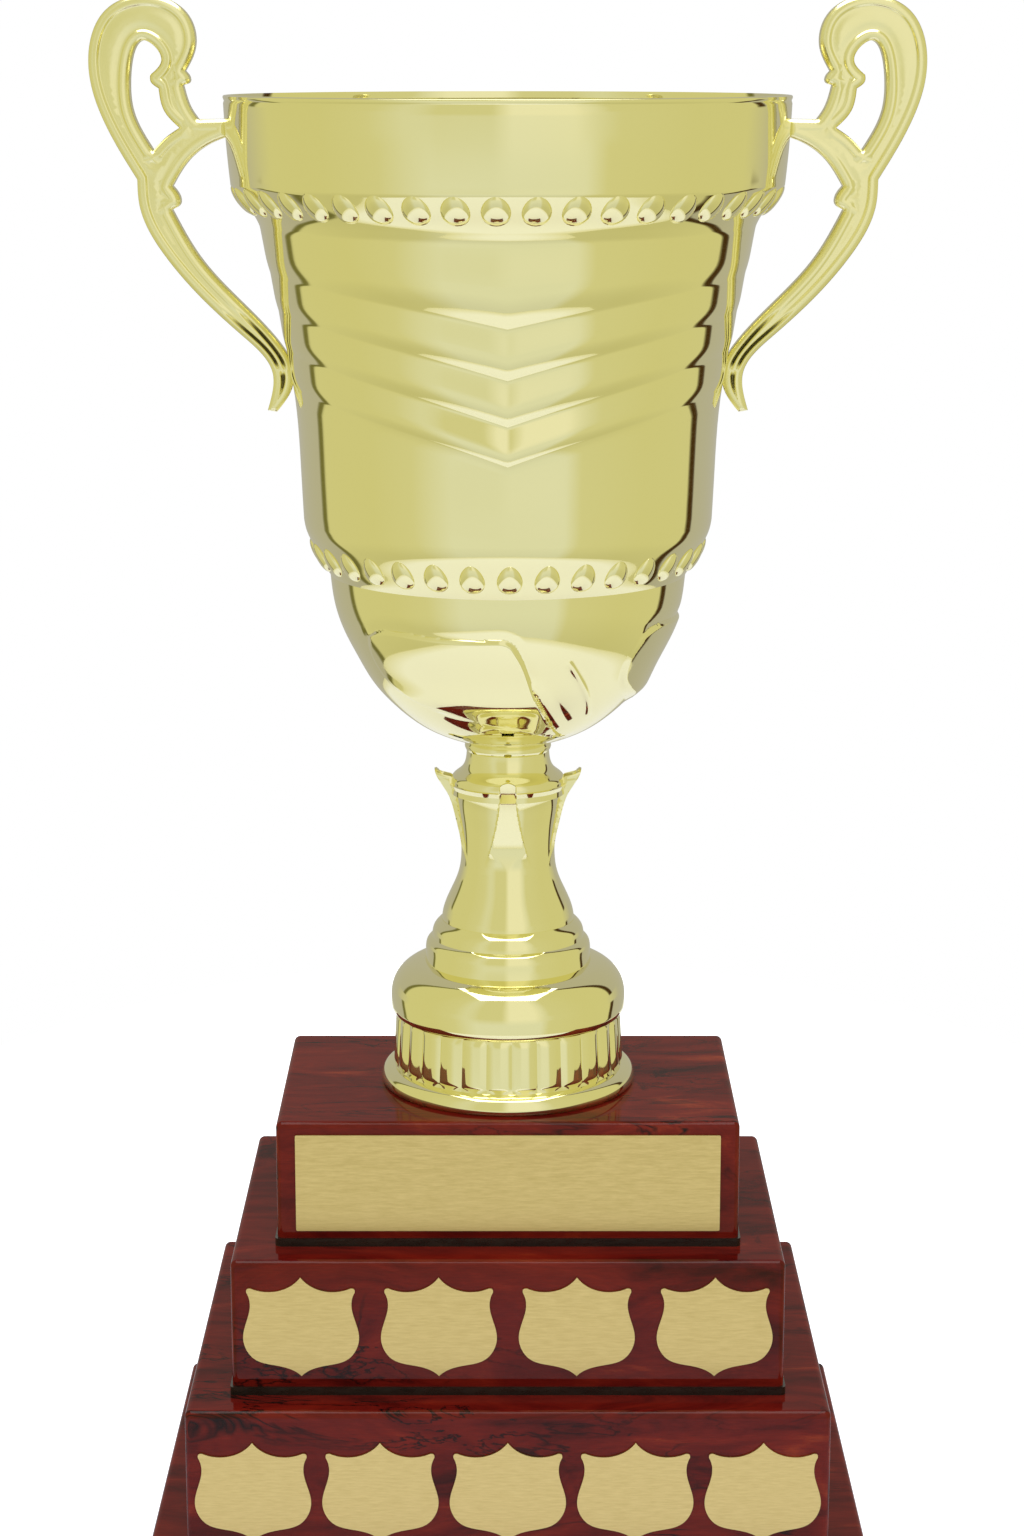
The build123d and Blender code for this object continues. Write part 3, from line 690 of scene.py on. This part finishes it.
def handle_half():
    """Front half of the right handle, flat on its middle plane: points as (x, height), half thickness at
    each, normals, triangles, the directed edges round the outline and the eye, and how deep in a groove each
    point is."""
    outer = chain([ARM_TOP, SCROLL_STALK, SCROLL_KNOB, SCROLL, LOWER_ARM, TAIL_TIP, LOWER_ARM_INSIDE,
                   ARM_KNOB, ARM_UNDERSIDE, ARM_END], OUTLINE_SPACING)
    eye = chain(EYE, OUTLINE_SPACING)
    rims = [np.vstack([loop, loop[:1]]) for loop in (outer, eye)]

    def depth_of(points):
        return np.minimum(*[path_distance(points, rim) for rim in rims])

    def in_metal(points):
        return inside(points, outer) & ~inside(points, eye)

    rings, inwards = [], []
    for loop in (outer, eye):
        along = np.roll(loop, -1, axis=0) - np.roll(loop, 1, axis=0)
        normal = np.stack([along[:, 1], -along[:, 0]], axis=1)
        normal /= np.linalg.norm(normal, axis=1)[:, None]
        if not in_metal(loop[:1] + RELIEF_RINGS[0] * normal[:1])[0]:
            normal = -normal
        inwards.append(normal)
        for offset in RELIEF_RINGS:
            ring = loop + normal * offset
            ring = ring[in_metal(ring)]
            rings.append(ring[depth_of(ring) > offset - ON_RIM])
    low, high = outer.min(axis=0), outer.max(axis=0)
    x, y = np.meshgrid(*[np.arange(*ends) for ends in zip(low, high, FILL_SPACING)])
    x[::2] += FILL_SPACING[0] / 2
    fill = np.stack([x.ravel(), y.ravel()], axis=1)
    fill = fill[in_metal(fill)]
    rings.append(fill[depth_of(fill) > RELIEF_RINGS[-1] + FILL_GAP])
    held, kept = set(), []
    for point in np.vstack([outer, eye, *rings]):
        cell = tuple(np.round(point / SAME_POINT).astype(int))
        if cell not in held or len(kept) < len(outer) + len(eye):
            held.add(cell)
            kept.append(point)
    edges = []
    for start, count in ((0, len(outer)), (len(outer), len(eye))):
        edges += [(start + i, start + (i + 1) % count) for i in range(count)]
    flat, _, triangles, *_ = delaunay_2d_cdt([Vector(point) for point in kept], edges, [], 0, 1e-5)
    flat = np.array([(point.x, point.y) for point in flat])
    triangles = np.array([triangle for triangle in triangles if len(triangle) == 3])
    triangles = triangles[in_metal(flat[triangles].mean(axis=1))]

    depth = depth_of(flat)
    away = np.stack([path_offset(flat, rim) for rim in rims])
    away = away[np.linalg.norm(away, axis=2).argmin(axis=0), np.arange(len(flat))]
    away /= np.maximum(depth, 1e-6)[:, None]
    loops, inwards = np.vstack([outer, eye]), np.vstack(inwards)
    on_rim = depth < ON_RIM
    for i in np.flatnonzero(on_rim):
        away[i] = inwards[np.linalg.norm(loops - flat[i], axis=1).argmin()]
    step = np.maximum(np.minimum(0.05, depth / 2), 1e-4)
    slope = (handle_relief(flat, depth + step) - handle_relief(flat, depth - step)) / (2 * step)
    slope[on_rim] = HANDLE_TURN / math.sqrt(1 - HANDLE_TURN)
    normals = np.stack([-slope * away[:, 0], -np.ones(len(flat)), -slope * away[:, 1]], axis=1)
    normals /= np.linalg.norm(normals, axis=1)[:, None]

    borders = {}
    for triangle in triangles:
        for a, b in zip(triangle, np.roll(triangle, -1)):
            borders[(a, b)] = borders.pop((b, a), None) is None
    borders = [edge for edge, alone in borders.items() if alone]
    return flat, handle_relief(flat, depth), normals, triangles, borders, tail_groove(flat, depth)


def handle(name, side, node, front_half):
    """Handle on one side: the front half, its mirror image at the back, and the edge between them."""
    flat, half, normals, triangles, borders, groove_painted_shade = front_half
    count = len(flat)
    front = np.stack([side * flat[:, 0], -half, flat[:, 1] + RIM_Z], axis=1)
    normals = normals * (side, 1, 1)
    walls = [(a, a + count, b + count, b) for a, b in borders]
    faces = triangles.tolist() + (triangles[:, ::-1] + count).tolist() + walls
    if side < 0:
        faces = [face[::-1] for face in faces]
    cast = make_object(name, np.vstack([front, front * (1, -1, 1)]), faces, node,
                       MATERIALS["satin_gold"], normals=np.vstack([normals, normals * (1, -1, 1)]))
    # Groove depth at each point, which the satin gold turns into painted shade
    shaded = cast.data.attributes.new("groove_painted_shade", "FLOAT", "POINT")
    shaded.data.foreach_set("value", np.concatenate([groove_painted_shade, groove_painted_shade]))


FRONT_HALF = handle_half()
handle("handle_right_cast", 1, "handle_right", FRONT_HALF)
handle("handle_left_cast", -1, "handle_left", FRONT_HALF)

# ---- neck, stem, ring and foot ----------------------------------------------
NECK = [[(15.3, -233), (15.9, -234.7), (15.2, -236.5)],
        [(15.2, -236.5), (15.7, -240.5), (17.3, -243.4), (20.9, -247), (21.0, -248.6)]]
NECK_FLOOR = -252.5
STEM_BOTTOM = -300.5
FOOT_TOP = -316.5
FOOT_BOTTOM = -363.0
RING = [[(24.8, STEM_BOTTOM), (27.6, -303.6), (28.3, -307.2)],
        [(28.3, -307.2), (29.8, -308.4), (30.7, -312.5), (31, FOOT_TOP)]]
FOOT_DOME = [(31, FOOT_TOP), (36, -317.7), (40.2, -320.6), (43.1, -325.6), (43.5, -334.2)]
FOOT_UNDERCUT = [(43.5, -334.2), (42.9, -335.4), (42.3, -336.2)]
REED_COUNT = 28
REED_COLUMNS = 16
REED_RADIUS = (41.0, 42.1)  # at the top and the bottom
REED_BULGE = 1.05
REED_TOP = -336.4
REED_BOTTOM = -355.6
REED_END = 0.14  # share of a reed's height over which each end rounds off
REED_SHARES = np.concatenate([np.linspace(0.02, 0.16, 6), [0.5], np.linspace(0.86, 0.98, 6)])
FOOT_TURN = 2.0
FOOT_FLANGE = [(42.6, -356.2), (44.2, -356.5), (46.3, -357.7), (47.4, -360), (47.4, -362.2),
               (46.8, FOOT_BOTTOM)]
TURNED_COLUMNS = 160
STEM_COLUMNS = 360

LEAF_COUNT = 4
CROWN_LIP = -248.8
LEAF_TIP = -243.5
LEAF_TIP_HALF = 9.0  # half angle of a leaf's rounded tip
LEAF_EDGE = 0.8  # half angle over which a leaf's facet meets the wall between leaves
CROWN_SIDE = [(21.8, CROWN_LIP), (19.8, -253.5), (18.8, -258.8), (18.1, -263.5), (17.3, -273), (18.4, -283),
              (24.4, -298.7), (24.6, STEM_BOTTOM)]
LEAF_SIDE = [(27.2, LEAF_TIP), (26.6, -245.5), (25.1, -248.3), (22.0, -253.2), (20.2, -258.5), (19.0, -263.5),
             (18.0, -268), (17.4, -273), (18.4, -283), (24.4, -298.7), (24.6, STEM_BOTTOM)]
# Half angle of a leaf's facet at each height. It is flat up to a limit, and turns flat between two heights
LEAF_SPREAD = [(-243.5, 7.2), (-250, 7.6), (-256, 9.8), (-262, 13.5), (-268, 18.5), (-274, 25), (-280, 34),
               (-285, 44)]
FLAT_LIMIT = 22
FLAT_FADE = (-280, -270)
LEAF_ROWS_BOTTOM = -266  # rows follow the leaves' outline down to here, and are level below
LEVEL_ROWS_TOP = -267
# Inside of the crown, as a cup above the neck's floor
CROWN_WALL = 1.5
CROWN_FLOOR_RADIUS = 18.0
LIP_ROUND = (0.7, 0.25)  # how far in and up the leaves' lip is rounded
LIP_DROP = 0.5  # how far below it the inside starts


def turned_piece(name, stretches, bottom, node):
    """Turned moulding, bored for the rod."""
    rows = [tuple(point) for stretch in stretches for point in smooth(stretch, 5 * len(stretch))]
    rows += [(rows[-1][0], bottom), (ROD_HOLE_RADIUS, bottom), (ROD_HOLE_RADIUS, rows[0][1])]
    return ring_piece(name, rows, even_azimuths(TURNED_COLUMNS), node, 30)


def leafed_stem():
    """Waisted stem: four facets run up it and turn out as leaves around the neck."""
    azimuth = even_azimuths(STEM_COLUMNS)
    apart = 360 / LEAF_COUNT
    off_leaf = np.abs((azimuth + apart / 2) % apart - apart / 2)
    tip = np.sqrt(np.clip(1 - (off_leaf / LEAF_TIP_HALF)**2, 0, 1))
    top = CROWN_LIP + (LEAF_TIP - CROWN_LIP) * tip
    crown, leaf = smooth(CROWN_SIDE, 120), smooth(LEAF_SIDE, 120)
    spread_at, spread = np.array(LEAF_SPREAD).T

    def outer_radius(height):
        width = np.interp(-height, -spread_at, spread)
        between = np.interp(-height, -crown[:, 1], crown[:, 0])
        on_leaf = np.interp(-height, -leaf[:, 1], leaf[:, 0])
        flat = np.minimum(width, FLAT_LIMIT) * smoothstep(*FLAT_FADE, height)
        chord = np.cos(np.radians(flat / 2)) / np.cos(np.radians(np.minimum(off_leaf, flat)))
        blend = 1 - smoothstep(width - LEAF_EDGE, width + LEAF_EDGE, off_leaf)
        return between + (on_leaf * chord - between) * blend

    rows = [(ROD_HOLE_RADIUS, NECK_FLOOR), (CROWN_FLOOR_RADIUS, NECK_FLOOR)]
    for share in np.linspace(0, 1, 8):
        height = NECK_FLOOR + (top - LIP_DROP - NECK_FLOOR) * share
        rows.append((outer_radius(height) - CROWN_WALL, height))
    rows.append((outer_radius(top) - LIP_ROUND[0], top + LIP_ROUND[1]))
    for share in np.linspace(0, 1, 24)**1.2:
        height = top + (LEAF_ROWS_BOTTOM - top) * share
        rows.append((outer_radius(height), height))
    for height in np.linspace(LEVEL_ROWS_TOP, STEM_BOTTOM, 40):
        rows.append((outer_radius(height), height))
    rows.append((ROD_HOLE_RADIUS, STEM_BOTTOM))
    return ring_piece("leafed_stem", rows, azimuth, "leaf_stem", 35)


def reeded_foot():
    """Domed foot: a band of upright convex reeds between an undercut dome and a spreading flange."""
    columns = REED_COUNT * REED_COLUMNS
    place = np.arange(columns) % REED_COLUMNS / REED_COLUMNS
    bulge = REED_BULGE * (1 - (2 * place - 1)**2)
    rows = plain_rows(smooth(FOOT_DOME, 26)) + plain_rows(smooth(FOOT_UNDERCUT, 5)[1:])
    for share in REED_SHARES:
        ends = math.sqrt(1 - (1 - min(share / REED_END, (1 - share) / REED_END, 1))**2)
        radius = REED_RADIUS[0] + (REED_RADIUS[1] - REED_RADIUS[0]) * share
        rows.append((radius + bulge * ends, REED_TOP + (REED_BOTTOM - REED_TOP) * share))
    rows += plain_rows(smooth(FOOT_FLANGE, 18))
    rows += [(ROD_HOLE_RADIUS, FOOT_BOTTOM), (ROD_HOLE_RADIUS, FOOT_TOP)]
    return ring_piece("reeded_foot", rows, even_azimuths(columns) + FOOT_TURN, "foot", 30)


turned_piece("flared_neck", NECK, NECK_FLOOR, "neck_collar")
leafed_stem()
turned_piece("double_ring", RING, FOOT_TOP, "stem_ring")
reeded_foot()

# ---- materials for the CAD nodes that stay ----------------------------------
for name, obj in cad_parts.items():
    wanted = obj.material_slots[0].material.name.split(".")[0]
    obj.material_slots[0].material = MATERIALS[wanted]

# ---- stage, light and camera ------------------------------------------------
# Lengths here are in metres
FLOOR_CENTRE_Y = 0.20
FLOOR_HALF = (0.465, 0.74)
FLOOR_WHITE = (0.72, 0.74, 0.95)
FLOOR_RIM = (0.55, 0.53, 0.34)
FLOOR_FADE = 0.88  # share of the floor's size where its white starts to fade
FLOOR_LIGHT = (0.92, 0.94, 1.0)
FLOOR_GLOW = 0.28
FLOOR_GLOW_SEEN = 0.8  # more of it where the camera looks, so that the floor is plain white
FLOOR_SIDES = 96
SKY = {"window": (0.88, 0.86, 0.72), "front": (0.76, 0.77, 0.66), "wall": (0.675, 0.655, 0.40),
       "side": (0.655, 0.63, 0.35), "left gap": (0.17, 0.16, 0.05), "right gap": (0.06, 0.03, 0.008),
       "back": (0.478, 0.461, 0.40)}
# Colours round the room by azimuth: with a dark gap on each side, level with the cup without the gaps, and
# higher up in front, with a window
GAP_SKY = [(-128, "back"), (-126, "left gap"), (-122.5, "left gap"), (-120.5, "side"), (-80, "side"),
           (-54, "wall"), (-31, "front"), (32, "front"), (41, "wall"), (80, "side"), (118.5, "side"),
           (120, "right gap"), (125, "right gap"), (126.5, "back")]
LEVEL_SKY = [(-140, "back"), (-112, "side"), (-80, "side"), (-58, "wall"), (-30, "front"), (28, "front"),
             (46, "wall"), (80, "side"), (112, "side"), (140, "back")]
WINDOW_SKY = [(-140, "back"), (-112, "side"), (-80, "side"), (-42, "wall"), (-6, "wall"), (2, "window"),
              (26, "window"), (46, "wall"), (80, "side"), (112, "side"), (140, "back")]
# Heights in the room are the Z of a direction of length 1
LEVEL_MIDDLE = 0.035  # below the horizon
LEVEL_BAND = (0.088, 0.12)  # half height of the level colours, and where they have given way to the gaps
WINDOW_RISE = (-0.25, 0.0)
WINDOW_HALF = (28, 42)  # azimuths, either way, where the window's colours start to give way and are gone
LOW_SHADE = (-0.75, -0.4, 0.88)  # light from far below is dimmed to the last number


def stage_floor():
    """Oval white table top whose rim fades to the colour of the walls."""
    material, tree, shader = new_material("pale_floor", Roughness=0.9, Specular_IOR_Level=0.1)
    place = object_coordinates(tree, (1 / FLOOR_HALF[0], 1 / FLOOR_HALF[1], 1))
    middle = (0, FLOOR_CENTRE_Y / FLOOR_HALF[1], 0)
    away = add(tree, "VectorMath", {0: place, 1: middle}, operation="DISTANCE").outputs["Value"]
    tint = ramp(tree, away, [(FLOOR_FADE, FLOOR_WHITE), (1.0, FLOOR_RIM)])
    tree.links.new(tint, shader.inputs["Base Color"])
    shader.inputs["Emission Color"].default_value = (*FLOOR_LIGHT, 1)
    seen = add(tree, "LightPath").outputs["Is Camera Ray"]
    glow = math_of(tree, "MULTIPLY_ADD", seen, FLOOR_GLOW_SEEN, FLOOR_GLOW)
    tree.links.new(glow, shader.inputs["Emission Strength"])
    turns = np.linspace(0, 2 * math.pi, FLOOR_SIDES, endpoint=False)
    rim = [(FLOOR_HALF[0] * math.cos(turn), FLOOR_CENTRE_Y + FLOOR_HALF[1] * math.sin(turn), 0)
           for turn in turns]
    mesh = bpy.data.meshes.new("stage_floor")
    mesh.from_pydata(rim, [], [range(len(rim))])
    mesh.materials.append(material)
    floor = bpy.data.objects.new("stage_floor", mesh)
    bpy.context.scene.collection.objects.link(floor)


def studio():
    """Soft room light by direction: a pale front, warm walls, a dark gap on each side, a grey back, and a
    lamp overhead."""
    world = bpy.data.worlds.new("studio")
    bpy.context.scene.world = world
    world.use_nodes = True
    tree = world.node_tree
    background = tree.nodes["Background"]
    place = add(tree, "SeparateXYZ", {0: add(tree, "TexCoord").outputs["Generated"]})
    x, y, z = [place.outputs[axis] for axis in "XYZ"]
    turn = math_of(tree, "ARCTAN2", x, math_of(tree, "MULTIPLY", y, -1.0))
    share = math_of(tree, "MULTIPLY_ADD", turn, 0.5 / math.pi, 0.5)
    gaps, level, window = [ramp(tree, share, [(0.5 + azimuth / 360, SKY[name]) for azimuth, name in stops])
                           for stops in (GAP_SKY, LEVEL_SKY, WINDOW_SKY)]
    off_level = math_of(tree, "ABSOLUTE", math_of(tree, "ADD", z, LEVEL_MIDDLE))
    colour = mixed(tree, span(tree, off_level, *LEVEL_BAND, 0, 1), level, gaps)
    high = span(tree, z, *WINDOW_RISE, 0, 1)
    facing = span(tree, math_of(tree, "ABSOLUTE", turn), *map(math.radians, WINDOW_HALF), 1, 0)
    colour = mixed(tree, math_of(tree, "MULTIPLY", high, facing), colour, window)
    colour = mixed(tree, 1.0, colour, span(tree, z, *LOW_SHADE, 1), "MULTIPLY")
    seen = add(tree, "LightPath").outputs["Is Camera Ray"]
    colour = mixed(tree, seen, colour, (1, 1, 1))
    tree.links.new(colour, background.inputs["Color"])
    light = bpy.data.lights.new("ceiling", "AREA")
    light.shape = "SQUARE"
    light.size = 1.1
    light.energy = 10
    lamp = bpy.data.objects.new("ceiling", light)
    lamp.location = (0, -0.1, 1.55)
    bpy.context.scene.collection.objects.link(lamp)


def camera():
    """Camera at the photograph's viewing angle, a little above the cup's rim."""
    data = bpy.data.cameras.new("camera")
    data.lens = 75.75
    data.sensor_width = 36
    data.clip_end = 20
    obj = bpy.data.objects.new("camera", data)
    obj.location = (0.0015, -1.166, 0.6005)
    obj.rotation_euler = (math.radians(77.47), 0, 0)
    bpy.context.scene.collection.objects.link(obj)
    bpy.context.scene.camera = obj


stage_floor()
studio()
camera()
bpy.context.scene.view_settings.view_transform = "Standard"
